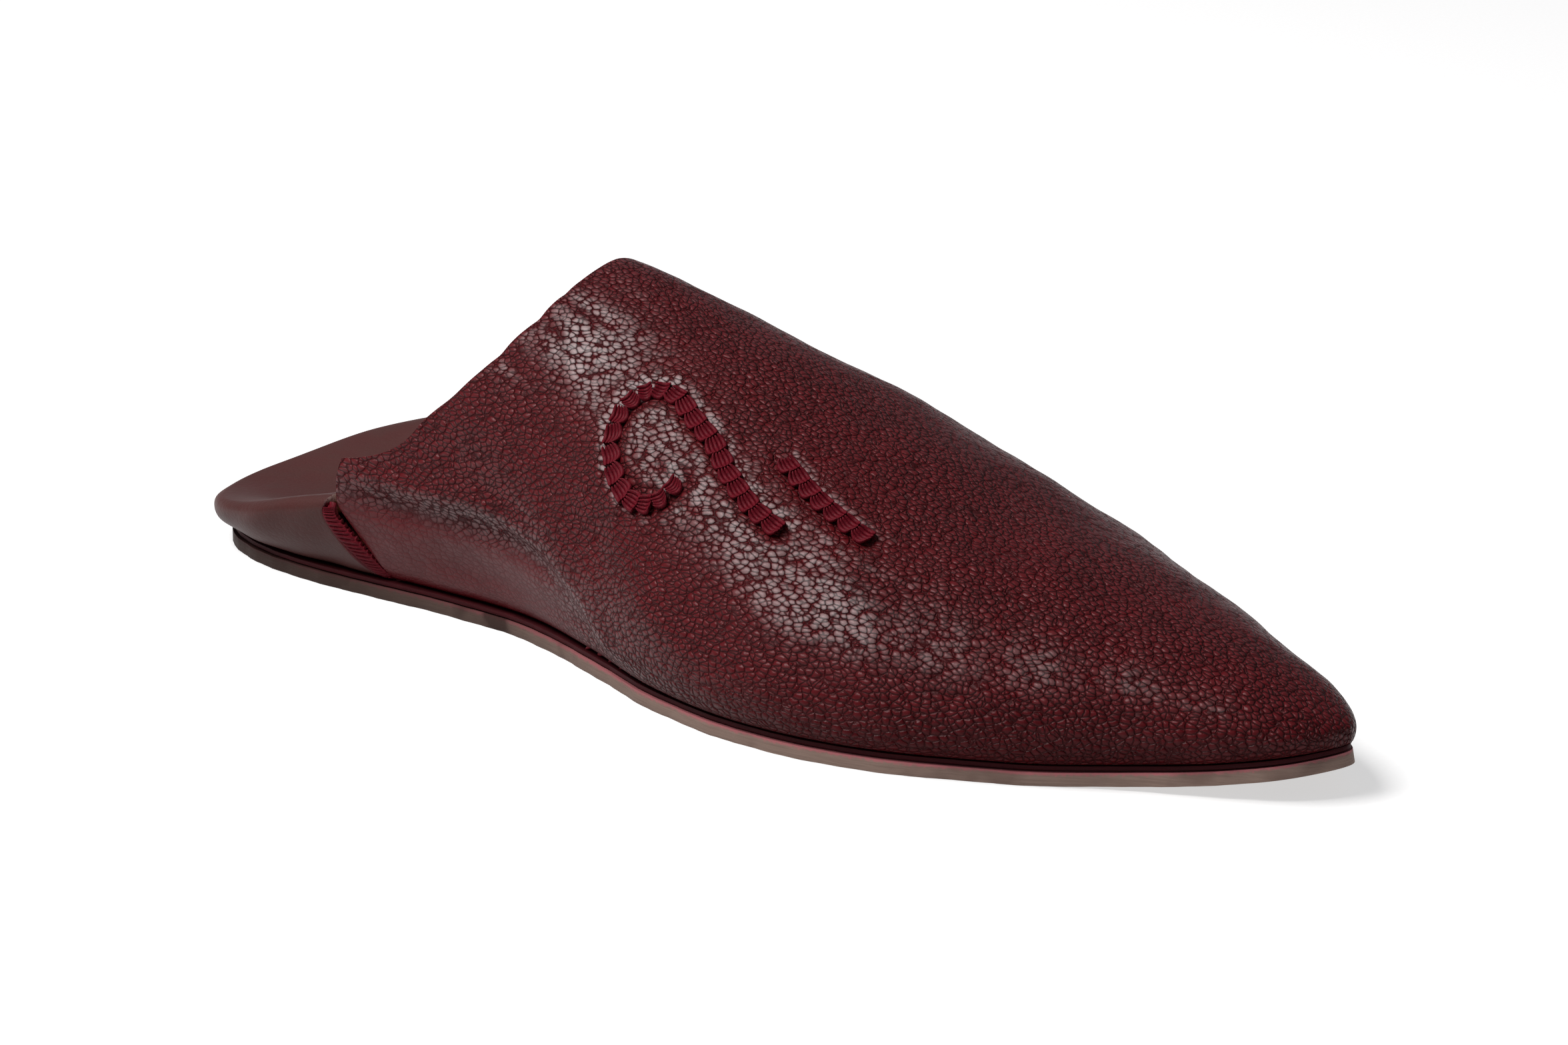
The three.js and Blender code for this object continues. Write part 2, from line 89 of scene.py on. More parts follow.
class Tone:
    """One socket of a finish. Sums and products of tones add the Math nodes that work them out."""

    def __init__(self, tree, socket=None):
        self.tree = tree
        self.socket = socket

    def node(self, kind, settings=(), values=(), out=0):
        made = self.tree.nodes.new("ShaderNode" + kind)
        for name, value in dict(settings).items():
            setattr(made, name, value)
        for name, value in dict(values).items():
            if isinstance(value, Tone):
                self.tree.links.new(value.socket, made.inputs[name])
            else:
                made.inputs[name].default_value = value
        return Tone(self.tree, made.outputs[out])

    def maths(self, operation, first, second=0.0, clamp=False):
        return self.node("Math", {"operation": operation, "use_clamp": clamp}, {0: first, 1: second})

    def __add__(self, other):
        return self.maths("ADD", self, other)

    def __radd__(self, other):
        return self.maths("ADD", other, self)

    def __sub__(self, other):
        return self.maths("SUBTRACT", self, other)

    def __rsub__(self, other):
        return self.maths("SUBTRACT", other, self)

    def __mul__(self, other):
        return self.maths("MULTIPLY", self, other)

    def __truediv__(self, other):
        return self.maths("DIVIDE", self, other)

    def __pow__(self, other):
        return self.maths("POWER", self, other)

    def held(self):
        """The same value kept between nought and one."""
        return self.maths("ADD", self, 0.0, clamp=True)

    def between(self, low, high):
        """A soft step from nought at low to one at high."""
        settings = {"interpolation_type": "SMOOTHSTEP"}
        return self.node("MapRange", settings, {"Value": self, "From Min": low, "From Max": high})

    def dye(self, first, second):
        """First colour where this is nought, second where it is one."""
        return self.node("Mix", {"data_type": "RGBA"}, {0: self, 6: first, 7: second}, out=2)

    def noise(self, where, scale, detail=2.0, rough=0.5):
        values = {"Vector": where, "Scale": scale, "Detail": detail, "Roughness": rough}
        return self.node("TexNoise", {}, values)

    def scaled(self, where, size):
        """Places on the piece in millimetres, stretched by the size of one repeat each way."""
        return self.node("Mapping", {}, {"Vector": where, "Scale": [1000 / s for s in size]})


def start_finish(name):
    """A new finish and the three things every one needs: its shader, a first tone and its places."""
    material = bpy.data.materials.new(name)
    material.use_nodes = True
    tree = material.node_tree
    first = Tone(tree)
    return material, tree.nodes["Principled BSDF"], first, first.node("TexCoord", out=3)


def finish_up(material, shader, colour, roughness, height, depth):
    """Ties colour, roughness and a bump of the given depth in millimetres into the shader."""
    tree = material.node_tree
    bump = height.node("Bump", {}, {"Height": height, "Distance": depth / 1000, "Strength": 1.0}, out=0)
    tree.links.new(colour.socket, shader.inputs["Base Color"])
    tree.links.new(roughness.socket, shader.inputs["Roughness"])
    tree.links.new(bump.socket, shader.inputs["Normal"])
    return material


def paper_finish():
    material, shader, first, where = start_finish("white_paper")
    grain = first.noise(where, 900, 3)
    colour = grain.dye((0.31, 0.31, 0.312, 1), (0.35, 0.35, 0.352, 1))
    shader.inputs["Emission Color"].default_value = (1, 1, 1, 1)
    shader.inputs["Emission Strength"].default_value = 0.58
    return finish_up(material, shader, colour, grain * 0.05 + 0.9, grain, 0.01)


floor.data.materials.append(paper_finish())

# ---------- outsole ----------
# A 2.5 mm sole of hard vegetable-tanned leather, cut to the foot's outline with a knife, its edge
# rubbed grey-brown and its upper rim stained by the burgundy dye and lit pink by a painted highlight.
# It lifts a little at the toe.

MM = 0.001
SOLE_LENGTH = 274.2
SOLE_THICK = 2.5
SPRING_START = 226
SPRING_HEIGHT = 5.5
OUTER_REACH = 50.41
OUTLINE_STEPS = 60
# Along, half-width on the outer side, half-width on the inner side. Most of these rows came out of a
# fitting script and weren't drawn by hand.
OUTLINE = np.array([
    (0, 0, 0), (3, 11, 11), (12, 22.5, 22.5), (30, 29.1, 29.7), (50, 30.2, 30), (75, 29.1, 27),
    (100, 30.1, 27), (125, 37.4, 33.7), (150, 46.3, 41.7), (175, 50.4, 44.6), (200, 47.5, 41.6),
    (225, 36.3, 31.4), (245, 23.8, 20.8), (260, 16.5, 13.6), (270, 9.2, 6.2), (SOLE_LENGTH, 0, 0),
])
sole_low, sole_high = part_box("outsole")
middle_across = sole_high.x - OUTER_REACH * MM
heel_along = sole_low.y


def in_place(points):
    """Shoe sizes (across, along, up) in millimetres as places in the shared frame, in metres."""
    return points * MM + np.array([middle_across, heel_along, 0.0])


def draw_outline():
    """The closed cutting line: heel, outer side, toe, inner side, as a smooth curve through the sizes."""
    knots = np.vstack([OUTLINE[:, [1, 0]], (OUTLINE[1:-1, [2, 0]] * (-1, 1))[::-1]])
    drawn = []
    for i in range(len(knots)):
        p0, p1, p2, p3 = (knots[(i + k) % len(knots)] for k in (-1, 0, 1, 2))
        t1 = math.sqrt(math.dist(p0, p1))
        t2 = t1 + math.sqrt(math.dist(p1, p2))
        t3 = t2 + math.sqrt(math.dist(p2, p3))
        t = np.linspace(t1, t2, OUTLINE_STEPS, endpoint=False)[:, None]
        a1 = (t1 - t) / t1 * p0 + t / t1 * p1
        a2 = (t2 - t) / (t2 - t1) * p1 + (t - t1) / (t2 - t1) * p2
        a3 = (t3 - t) / (t3 - t2) * p2 + (t - t2) / (t3 - t2) * p3
        b1 = (t2 - t) / t2 * a1 + t / t2 * a2
        b2 = (t3 - t) / (t3 - t1) * a2 + (t - t1) / (t3 - t1) * a3
        drawn.append((t2 - t) / (t2 - t1) * b1 + (t - t1) / (t2 - t1) * b2)
    return np.vstack(drawn + [knots[:1]])


cut_line = draw_outline()
cut_run = np.r_[0, np.cumsum(np.hypot(*np.diff(cut_line, axis=0).T))]
toe_knot = OUTLINE_STEPS * (len(OUTLINE) - 1)


def half_width(side, along):
    """Half-width of the sole on the outer side (1) or the inner side (-1)."""
    part = cut_line[: toe_knot + 1] if side > 0 else cut_line[toe_knot:][::-1]
    return np.interp(along, part[:, 1], np.abs(part[:, 0]))


def toe_lift(along):
    """How high the toe springs off the floor."""
    return SPRING_HEIGHT * (np.clip((along - SPRING_START) / (SOLE_LENGTH - SPRING_START), 0, None)) ** 2


def cut_sheet(name, columns, rows, shape):
    """A flat sheet divided finely both ways, with every point then moved to its place on the shoe."""
    bpy.ops.object.select_all(action="DESELECT")
    bpy.ops.mesh.primitive_grid_add(x_subdivisions=columns, y_subdivisions=rows, size=2)
    piece = bpy.context.object
    piece.name = name
    flat = np.zeros(len(piece.data.vertices) * 3)
    piece.data.vertices.foreach_get("co", flat)
    flat = flat.reshape(rows + 1, columns + 1, 3)
    points = shape((flat[..., 0] + 1) / 2, (flat[..., 1] + 1) / 2)
    piece.data.vertices.foreach_set("co", in_place(points).ravel())
    piece.data.update()
    return piece


def give_thickness(piece, thick, rounding, finishes):
    """Welds touching points, grows the sheet inward to its thickness and rounds its cut edges."""
    for finish in finishes:
        piece.data.materials.append(finish)
    bpy.ops.object.mode_set(mode="EDIT")
    bpy.ops.mesh.select_all(action="SELECT")
    bpy.ops.mesh.remove_doubles(threshold=0.00002)
    bpy.ops.mesh.select_all(action="DESELECT")
    bpy.ops.object.mode_set(mode="OBJECT")
    wall = piece.modifiers.new("thickness", "SOLIDIFY")
    wall.thickness = thick * MM
    wall.offset = -1
    wall.material_offset = 1
    wall.material_offset_rim = 2
    bpy.ops.object.modifier_apply(modifier=wall.name)
    bpy.ops.object.mode_set(mode="EDIT")
    bpy.ops.mesh.select_mode(type="FACE")
    bpy.ops.mesh.select_all(action="DESELECT")
    piece.active_material_index = 2
    bpy.ops.object.material_slot_select()
    bpy.ops.mesh.region_to_loop()
    bpy.ops.mesh.bevel(offset=rounding * MM, segments=2, affect="EDGES", clamp_overlap=True)
    bpy.ops.mesh.select_all(action="DESELECT")
    bpy.ops.object.mode_set(mode="OBJECT")
    bpy.ops.object.shade_smooth_by_angle(angle=math.radians(48))
    return piece


def sole_shape(margin, top, wave=0.0):
    """A layer in the foot's outline, drawn in by a margin, with its top face at a height."""
    def shape(u, v):
        run = 0.12 * v + 0.44 * (1 - np.cos(v * math.pi))
        along = margin + (SOLE_LENGTH - 2 * margin) * run
        shown = SOLE_LENGTH * run
        toe_ease = 1 - 0.5 * np.clip((shown - 225) / 45, 0, 1)
        ease = margin * np.clip(np.sin(run * math.pi) * 6, 0, 1) * toe_ease
        inner = np.maximum(half_width(-1, shown) - ease, 0)
        outer = np.maximum(half_width(1, shown) - ease, 0)
        across = -inner + (inner + outer) * u
        edge = np.abs(2 * u - 1) ** 8 * np.clip(run * 30, 0, 1) * np.clip((1 - run) * 30, 0, 1)
        wander = np.sin(along * 0.31) + 0.6 * np.sin(along * 0.83 + 1) + 0.3 * np.sin(along * 2.1)
        rough = wave * edge * wander
        return np.stack([across + rough * np.sign(u - 0.5), along, top + toe_lift(along) + 0 * u], axis=-1)
    return shape


def shoe_along(first, where):
    """How far along the shoe a point of a finish is, in millimetres."""
    return first.node("SeparateXYZ", {}, {0: where}, out=1) * 1000 + (0 - heel_along * 1000)


def shoe_up(first, where):
    """How high above the floor a point of a finish is, in millimetres."""
    return first.node("SeparateXYZ", {}, {0: where}, out=2) * 1000


def sole_edge_finish(name, rim_stain_and_highlight_colour):
    material, shader, first, where = start_finish(name)
    fibres = first.noise(first.scaled(where, (9, 9, 0.35)), 1.0, 4, 0.65)
    cloud = first.noise(where, 60, 3)
    flecks = first.noise(first.scaled(where, (0.8, 0.8, 0.5)), 1.0, 2)
    along = shoe_along(first, where)
    spring = ((along - SPRING_START) / (SOLE_LENGTH - SPRING_START)).held() ** 2 * SPRING_HEIGHT
    rise = shoe_up(first, where) - spring
    tan = fibres.dye((0.12, 0.078, 0.064, 1), (0.27, 0.19, 0.155, 1))
    tan = (cloud.between(0.45, 0.7) * 0.5).dye(tan, (0.2, 0.125, 0.105, 1))
    # The upper rim turns pink: burgundy dye stain, lightened by a painted highlight along the top of the
    # edge.
    rim_stain_and_highlight = (rise + flecks * 1.1).between(2.35, 3.0)
    colour = rim_stain_and_highlight.dye(tan, rim_stain_and_highlight_colour)
    # Towards the heel and waist the edge is darkened almost to black: painted shade under the overhanging
    # upper.
    painted_heel_shade = (1 - along.between(30, 225) + cloud.between(0.5, 0.62) * 0.3).held() * 0.95
    colour = painted_heel_shade.dye(colour, (0.02, 0.0085, 0.0065, 1))
    roughness = fibres * 0.2 + 0.56
    shader.inputs["Specular IOR Level"].default_value = 0.12
    return finish_up(material, shader, colour, roughness, fibres * 0.7 + flecks * 0.3, 0.12)


edge_finish = sole_edge_finish("rubbed_sole_edge", (0.34, 0.11, 0.12, 1))
outsole = cut_sheet("outsole_leather", 28, 250, sole_shape(0.0, SOLE_THICK, 0.12))
give_thickness(outsole, SOLE_THICK, 0.3, [edge_finish, edge_finish, edge_finish])
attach(outsole, "root")
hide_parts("outsole")

# ---------- middle sole ----------
# A thin layer of the same burgundy leather between the outsole and the upper. The sole stitches
# pass through it, and only its edge shows, as a dark line above the outsole. The edge is coloured far
# darker than the leather: painted shade of the slit under the upper.

LAYER_TOP = 3.6
LAYER_THICK = 0.8
LAYER_MARGIN = 0.5


def layer_finish():
    material, shader, first, where = start_finish("burgundy_layer_edge_and_shade")
    fibres = first.noise(first.scaled(where, (4, 4, 0.3)), 1.0, 3, 0.6)
    # Edge coloured near black, darker than the burgundy leather: painted shade in the slit under the upper.
    colour = fibres.dye((0.012, 0.001, 0.002, 1), (0.045, 0.004, 0.006, 1))
    shader.inputs["Specular IOR Level"].default_value = 0.08
    return finish_up(material, shader, colour, fibres * 0.25 + 0.5, fibres, 0.08)


layer_edge_and_shade = layer_finish()
middle_sole = cut_sheet("middle_sole_leather", 20, 220, sole_shape(LAYER_MARGIN, LAYER_TOP, 0.06))
give_thickness(middle_sole, LAYER_THICK, 0.12, [layer_edge_and_shade, layer_edge_and_shade, layer_edge_and_shade])
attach(middle_sole, "root")
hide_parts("middle_sole")

# ---------- sole stitching ----------
# Waxed red thread holds the lasted upper to the soles. Its short loops show in the dark gap under
# the upper every four to five millimetres, from the waist round the toe.

STITCH_STEP = 4.6
STITCH_INSET = 1.5
STITCH_START = 140.0
STITCH_UP = 4.25


def thread_spindle(sides, rings):
    """One short run of thread: a ball drawn out to unit length, full in the middle, pinched at its ends."""
    bpy.ops.object.select_all(action="DESELECT")
    bpy.ops.mesh.primitive_uv_sphere_add(segments=sides, ring_count=rings, radius=1)
    ball = bpy.context.object
    points = np.zeros(len(ball.data.vertices) * 3)
    ball.data.vertices.foreach_get("co", points)
    points = points.reshape(-1, 3)
    slim = np.maximum(np.hypot(points[:, 0], points[:, 1]), 1e-6)
    length = points[:, 2]
    full = np.clip(1 - np.abs(length) ** 3.2, 0, 1) ** 0.5
    sides_in, sides_up = points[:, 0] / slim * full / 2, points[:, 1] / slim * full / 2
    shaped = np.stack([length / 2, sides_in, sides_up], axis=-1)
    faces = [tuple(face.vertices)[::-1] for face in ball.data.polygons]
    bpy.data.objects.remove(ball)
    return shaped, faces


def join_threads(name, points, faces, finish):
    """Many threads as one mesh."""
    mesh = bpy.data.meshes.new(name)
    every = [tuple(i + k * len(points[0]) for i in face) for k in range(len(points)) for face in faces]
    mesh.from_pydata(in_place(np.vstack(points)).tolist(), [], every)
    mesh.materials.append(finish)
    piece = bpy.data.objects.new(name, mesh)
    bpy.context.scene.collection.objects.link(piece)
    bpy.ops.object.select_all(action="DESELECT")
    piece.select_set(True)
    bpy.context.view_layer.objects.active = piece
    bpy.ops.object.mode_set(mode="EDIT")
    bpy.ops.mesh.select_all(action="SELECT")
    bpy.ops.mesh.normals_make_consistent(inside=False)
    bpy.ops.mesh.select_all(action="DESELECT")
    bpy.ops.object.mode_set(mode="OBJECT")
    bpy.ops.object.shade_smooth()
    return piece


def thread_finish(name, dark, light, repeat):
    material, shader, first, where = start_finish(name)
    strands = first.noise(first.scaled(where, (repeat, repeat, repeat)), 1.0, 3, 0.7)
    cloud = first.noise(where, 120, 2)
    colour = strands.between(0.3, 0.75).dye(dark, light)
    colour = (cloud.between(0.5, 0.8) * 0.4).dye(colour, dark)
    shader.inputs["Specular IOR Level"].default_value = 0.06
    return finish_up(material, shader, colour, strands * 0.25 + 0.4, strands, 0.06)


def cut_place(run, inset):
    """A place inside the cutting line by an inset, and the direction of the line there."""
    across = np.interp(run, cut_run, cut_line[:, 0])
    along = np.interp(run, cut_run, cut_line[:, 1])
    ahead = np.array([
        np.interp(run + 0.6, cut_run, cut_line[:, 0]) - np.interp(run - 0.6, cut_run, cut_line[:, 0]),
        np.interp(run + 0.6, cut_run, cut_line[:, 1]) - np.interp(run - 0.6, cut_run, cut_line[:, 1]),
    ])
    ahead = ahead / np.hypot(*ahead)
    return np.array([across - ahead[1] * inset, along + ahead[0] * inset]), ahead


stitch_shape, stitch_faces = thread_spindle(8, 8)
stitches = []
shake = np.random.default_rng(4)
run = STITCH_START
while run < cut_run[-1] - STITCH_START:
    centre, ahead = cut_place(run, STITCH_INSET)
    tilt = shake.uniform(0.25, 0.5)
    size = (shake.uniform(2.5, 3.1), 0.95, 0.8)
    local = stitch_shape * size
    forward = local[:, 0] * math.cos(tilt)
    rise = local[:, 2] + local[:, 0] * math.sin(tilt) + STITCH_UP + toe_lift(centre[1])
    x = centre[0] + ahead[0] * forward + ahead[1] * local[:, 1]
    y = centre[1] + ahead[1] * forward - ahead[0] * local[:, 1]
    stitches.append(np.stack([x, y, rise], axis=-1))
    run += STITCH_STEP + shake.uniform(-0.3, 0.3)
waxed_thread = thread_finish("waxed_red_thread", (0.07, 0.005, 0.01, 1), (0.2, 0.02, 0.03, 1), 0.4)
sole_stitching = join_threads("sole_stitching", stitches, stitch_faces, waxed_thread)
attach(sole_stitching, "root")

# ---------- insole ----------
# A loose-cut sock of pale tan leather glued over the lasted edges, dished and polished darker
# where the heel and the ball of the foot rest.

INSOLE_TOP = 7.0
INSOLE_THICK = 1.0
INSOLE_MARGIN = 6.0
HEEL_REST = 34
BALL_REST = 178


def insole_finish(name):
    material, shader, first, where = start_finish(name)
    pores = first.noise(where, 1600, 3, 0.6)
    cloud = first.noise(where, 35, 3)
    along = shoe_along(first, where)
    heel_rest = 1 - ((along - HEEL_REST) * (along - HEEL_REST) / 900).held()
    ball_rest = 1 - ((along - BALL_REST) * (along - BALL_REST) / 1600).held()
    worn = ((heel_rest + ball_rest) * (cloud * 0.6 + 0.5)).held()
    colour = cloud.between(0.3, 0.7).dye((0.42, 0.25, 0.17, 1), (0.5, 0.31, 0.22, 1))
    colour = (worn * 0.55).dye(colour, (0.27, 0.13, 0.09, 1))
    return finish_up(material, shader, colour, 0.62 - worn * 0.18 + pores * 0.1, pores, 0.05)


def insole_shape(u, v):
    """The sock, hollowed a little where the heel and the ball of the foot rest."""
    points = sole_shape(INSOLE_MARGIN, INSOLE_TOP)(u, v)
    dish = np.sin(np.clip(u, 0, 1) * math.pi) ** 0.7
    heel_dish = np.exp(-(((points[..., 1] - HEEL_REST) / 26) ** 2))
    ball_dish = np.exp(-(((points[..., 1] - BALL_REST) / 32) ** 2))
    points[..., 2] -= 0.35 * dish * (heel_dish + ball_dish)
    return points


sock_leather = insole_finish("tan_sock_leather")
insole = cut_sheet("insole_leather", 40, 200, insole_shape)
give_thickness(insole, INSOLE_THICK, 0.25, [sock_leather, sock_leather, sock_leather])
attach(insole, "root")
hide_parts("insole")

# ---------- vamp ----------
# One piece of soft milled goat leather, dyed burgundy, wet and pulled over the last. It creases
# along the side fold and puckers round the silk, and it is lined with thin pale leather.

LEATHER = 1.5
UPPER_BOTTOM = 3.9
VAMP_BACK = 44
RIM_LIMIT = 112
NOSE_START = 268
WAY_END = 2.2
# Along, stand-out on the outer and inner side, fold height, crest height, tuck, shoulder, wall. The
# crest heights began as a fit and were smoothed; those at 125 and 150 are still the fit's.
VAMP_SIZES = np.array([
    (30, 4.5, 4.5, 22, 75, 2.2, 1.2, 1.35), (50, 4.3, 4.3, 23.5, 74, 2.2, 1.2, 1.35),
    (75, 5.2, 5.2, 24, 71.5, 2.4, 1.18, 1.3), (100, 5.4, 5.4, 24, 68.4, 2.6, 1.15, 1.25),
    (125, 4.2, 4.2, 18.5, 61.6, 2.6, 1.11, 1.1), (150, 2.8, 2.8, 11.5, 54, 2, 1.04, 0.95),
    (175, 2, 2, 9, 45.2, 1.6, 1.03, 0.85), (200, 1.5, 1.3, 8.4, 36.6, 1.5, 1.03, 0.85),
    (225, 1.2, 1, 8.2, 29.8, 1.4, 1.02, 0.85), (245, 1.2, 0.9, 9, 24.6, 1.3, 1, 0.85),
    (260, 1.2, 0.8, 10.2, 19.4, 1.2, 1, 0.9), (270, 1.2, 0.7, 11.2, 15, 1.1, 1, 1),
    (275, 1.2, 0.7, 11.4, 12, 1, 1, 1),
])
COLLAR = np.array([  # along, height of the collar edge
    (56.2, 28.4), (61, 29.4), (67, 31.4), (72, 34.6), (76.5, 39.8), (84, 46.4), (92, 56.2),
    (96.5, 63.8), (98, 71),
])
SEAM = np.array([  # height, along, half the width of the band
    (0, 64, 1.7), (4, 61.5, 1.9), (9, 58.2, 2.3), (14, 54.8, 2.2), (19, 52.2, 1.5), (24, 53.2, 1.3),
    (30, 54.6, 1.2),
])


def read(sizes, column, at):
    """One column of a list of sizes, read on a smooth curve through its rows."""
    key, value = sizes[:, 0], sizes[:, column]
    i = np.clip(np.searchsorted(key, at, side="left") - 1, 0, len(key) - 2)
    before, after = np.clip(i - 1, 0, None), np.clip(i + 2, None, len(key) - 1)
    span = key[i + 1] - key[i]
    t = np.clip((at - key[i]) / span, 0, 1)
    leave = (value[i + 1] - value[before]) / (key[i + 1] - key[before]) * span
    arrive = (value[after] - value[i]) / (key[after] - key[i]) * span
    start = (2 * t**3 - 3 * t**2 + 1) * value[i] + (t**3 - 2 * t**2 + t) * leave
    return start + (3 * t**2 - 2 * t**3) * value[i + 1] + (t**3 - t**2) * arrive


def vamp_place(along, way):
    """The vamp's face. Way is 0 on the crest, 1 at the side fold, 2 at the sole and more where it is
    lasted under; it is minus on the inner side."""
    y = VAMP_BACK + (SOLE_LENGTH + 0.4 - VAMP_BACK) * (along - VAMP_BACK) / (SOLE_LENGTH - VAMP_BACK)
    floor_up = UPPER_BOTTOM + toe_lift(y)
    nose = np.clip((along - NOSE_START) / (SOLE_LENGTH - NOSE_START), 0, 1)
    close = np.sqrt(np.clip(1 - nose**2, 0, 1))
    fold = np.maximum(read(VAMP_SIZES, 3, along), floor_up + 0.6)
    crest = np.maximum(read(VAMP_SIZES, 4, along), fold + 0.4)
    outer = way >= 0
    edge = np.where(outer, half_width(1, along), half_width(-1, along))
    stand = np.where(outer, read(VAMP_SIZES, 1, along), read(VAMP_SIZES, 2, along))
    wide = np.maximum(edge + stand * close, 0.3)
    foot = np.maximum(np.minimum(edge - read(VAMP_SIZES, 5, along), wide - 0.1), 0.15)
    shoulder, low = read(VAMP_SIZES, 6, along), read(VAMP_SIZES, 7, along)
    part = np.abs(way)
    a = np.clip(1 - part, 0, 1) * math.pi / 2
    crown_x = wide * np.cos(a) ** shoulder
    crown_z = fold + (crest - fold) * np.sin(a) ** shoulder
    b = np.clip(2 - part, 0, 1) * math.pi / 2
    wall_x = foot + (wide - foot) * np.sin(b) ** low
    wall_z = fold - (fold - floor_up) * np.cos(b) ** low
    under = np.clip((part - 2) / 0.2, 0, 1) * np.minimum(7.0, foot * 0.7)
    x = np.where(part <= 1, crown_x, np.where(part <= 2, wall_x, foot - under))
    z = np.where(part <= 1, crown_z, np.where(part <= 2, wall_z, floor_up))
    return np.stack([np.where(outer, x, -x), y, z], axis=-1)


def back_edge(height):
    """How far forward the vamp's back edge is at a height: the seam below, the collar above."""
    seam = read(SEAM, 1, height) + read(SEAM, 2, height) + 0.6
    fine = np.linspace(COLLAR[0, 0], COLLAR[-1, 0], 300)
    collar = np.interp(height, read(COLLAR, 1, fine), fine)
    return np.where(height < COLLAR[0, 1], seam, collar)


def vamp_start(way):
    """Where along the shoe the vamp's sheet begins on each way round, found by halving."""
    low, high = np.full(way.shape, float(VAMP_BACK)), np.full(way.shape, float(RIM_LIMIT))
    for _ in range(40):
        middle = (low + high) / 2
        point = vamp_place(middle, way)
        ahead = point[..., 1] > back_edge(point[..., 2])
        high = np.where(ahead, middle, high)
        low = np.where(ahead, low, middle)
    return (low + high) / 2


AROUND = 240
LONG = 172
fine_way = np.linspace(0, WAY_END, 1500)
rim_points = vamp_place(vamp_start(fine_way), fine_way)
mid_points = vamp_place(np.full(1500, 165.0), fine_way)
rim_steps = np.linalg.norm(np.diff(rim_points, axis=0), axis=1)
mid_steps = np.linalg.norm(np.diff(mid_points, axis=0), axis=1)
spread = np.r_[0, np.cumsum(rim_steps + mid_steps)]
even_way = np.interp(np.linspace(0, spread[-1], AROUND // 2 + 1), spread, fine_way)

# The embroidered scroll and the short line beside it, as places on the outer side of the vamp:
# along the shoe, and up round the leather from the side fold.
LOOP_ALONG, LOOP_UP = 136, 33.5
LOOP_RADIUS = 10.8
SCROLL = [
    (LOOP_ALONG + LOOP_RADIUS * math.cos(turn), LOOP_UP + LOOP_RADIUS * math.sin(turn))
    for turn in np.radians(np.linspace(-5, -290, 10))
]
SCROLL += [(148, 42.5), (155, 39), (163, 35.5), (172, 33)]
SHORT_LINE = [(162, 47.5), (174, 42.5), (187, 38)]
PUFF_ALONG, PUFF_UP, PUFF_SIZE = 135.5, 33.5, 7.5

# Main creases and swellings of the outer side: places, width and depth. A minus depth is a ridge.
# The inner side is given milder ones.
OUTER_FOLDS = [
    ([(55, 1.2), (75, 1.6), (95, 1.6), (114, 1)], 2.2, -0.9),
    ([(54, -3), (80, -3.4), (105, -3.2), (128, -2)], 2.6, 1.5),
    ([(66, -13), (90, -14), (115, -12), (132, -9)], 7.5, 0.9),
    ([(112, 3), (124, -1), (136, -5), (146, -9)], 3.6, -0.8),
    ([(120, -5), (134, -9), (142, -13)], 3.4, 0.6),
    ([(62, 8), (78, 10), (96, 9), (112, 7)], 6, 0.5),
    ([(96, 18), (108, 15), (122, 12), (140, 9)], 5, 0.35),
    ([(140, 8), (155, 5), (172, 3), (190, 2)], 6, -0.45),
    ([(150, 14), (168, 11), (186, 9), (205, 8)], 4.5, 0.3),
    ([(91, 42), (97, 39), (104, 37)], 1.6, 0.4),
    ([(94, 48), (101, 46), (110, 46)], 1.5, 0.35),
    ([(86, 33), (92, 30), (100, 28)], 1.7, 0.35),
    ([(98, 56), (108, 54), (118, 55)], 2, 0.3),
    ([(188, 31), (194, 30), (202, 30)], 1.3, 0.3),
    ([(172, 26), (179, 24.5), (188, 24)], 1.3, 0.35),
    ([(174, 29), (181, 28.5), (187, 28.5)], 1.1, 0.25),
    ([(124, 22), (118, 20), (111, 19.5)], 1.4, 0.25),
    ([(124, 33), (117, 35), (109, 36)], 1.3, 0.25),
    ([(133, 17), (131, 11), (132, 8)], 0.9, 0.3),
    ([(205, 20), (222, 16), (240, 12)], 4, 0.25),
    ([(150, 62), (170, 57), (190, 53)], 5, 0.2),
    ([(178, 48), (188, 44), (199, 42)], 1.5, 0.2),
]
INNER_FOLDS = [
    ([(57, 1.2), (85, 1.6), (112, 1)], 2.4, -0.5),
    ([(58, -3.5), (90, -4), (128, -3)], 3.2, 0.8),
    ([(66, -13), (100, -13), (132, -9)], 7.5, 0.8),
    ([(92, 40), (100, 36), (112, 34)], 1.8, 0.35),
    ([(130, 20), (150, 15), (175, 12)], 5, 0.35),
    ([(160, 34), (180, 30), (200, 28)], 4.5, 0.25),
]


def smooth_run(knots, count):
    """Points evenly spaced on a smooth line through the knots."""
    knots = np.array(knots, float)
    ends = np.vstack([2 * knots[0] - knots[1], knots, 2 * knots[-1] - knots[-2]])
    t = np.linspace(0, 1, 24, endpoint=False)[:, None]
    drawn = []
    for p0, p1, p2, p3 in zip(ends, ends[1:], ends[2:], ends[3:]):
        drawn.append(0.5 * (2 * p1 + (p2 - p0) * t + (2 * p0 - 5 * p1 + 4 * p2 - p3) * t**2
                            + (3 * p1 - p0 - 3 * p2 + p3) * t**3))
    drawn = np.vstack(drawn + [knots[-1:]])
    length = np.r_[0, np.cumsum(np.hypot(*np.diff(drawn, axis=0).T))]
    even = np.linspace(0, length[-1], count)
    return np.stack([np.interp(even, length, drawn[:, k]) for k in (0, 1)], axis=-1), length[-1]


